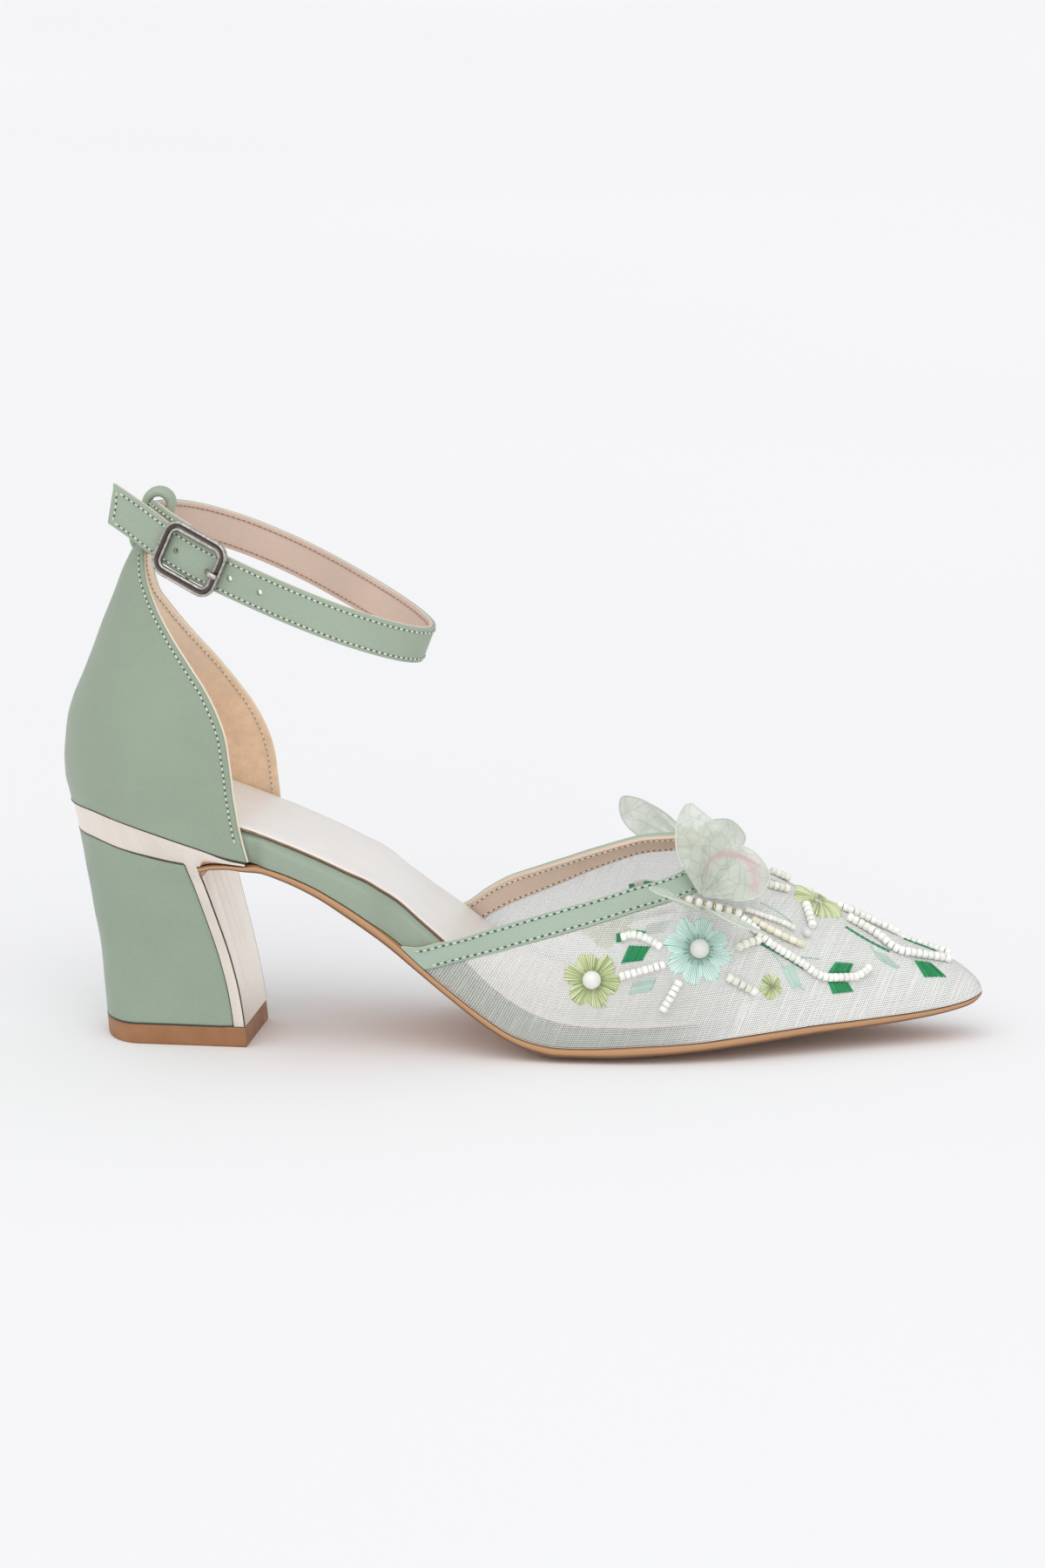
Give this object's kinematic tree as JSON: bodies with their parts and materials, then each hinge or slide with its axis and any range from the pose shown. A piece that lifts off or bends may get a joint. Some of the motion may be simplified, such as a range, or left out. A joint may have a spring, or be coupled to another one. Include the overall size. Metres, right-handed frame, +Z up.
{
  "type": "block heel mesh pump",
  "caption": "Pointed two-piece ankle strap pump with a block heel, sheer mesh front upper with embroidery, organza butterflies, and a leather covered heel with a metal frame.",
  "frame": {"origin": "middle of the length and width, on the floor under the shoe", "axes": "+X to the toe, +Y to the inner (medial) side, +Z up; the buckle is on the outer side, -Y"},
  "size_m": [0.2426, 0.0757, 0.1475],
  "materials": {
    "outsole_edge": "smooth tan and brown leather-board sole with a dark edge",
    "sage_leather": "smooth matt sage green leather",
    "sock": "soft pinkish beige lining leather, slight sheen",
    "top_piece": "tan rubber, matt",
    "champagne_metal": "plated champagne metal, satin",
    "buckle_metal": "antiqued silver",
    "mesh": "sheer slubbed linen mesh, pale grey green",
    "organza": "pale green organza",
    "pearl": "pearl beads"
  },
  "bodies": {
    "root": {"outsole": "outsole_edge", "insole": "sage_leather", "sock_lining": "sock", "top_piece": "top_piece", "heel_block": "sage_leather", "heel_frame": "champagne_metal", "counter": "sage_leather", "strap_loop": "sage_leather", "ankle_strap": "sage_leather", "buckle_frame": "buckle_metal", "buckle_prong": "buckle_metal", "topline_band": "sage_leather", "vamp": "mesh", "wing_upright": "organza", "wing_flat": "organza", "wing_medial": "organza", "butterfly_body": "pearl", "butterfly_body_medial": "pearl"}
  },
  "joints": []
}
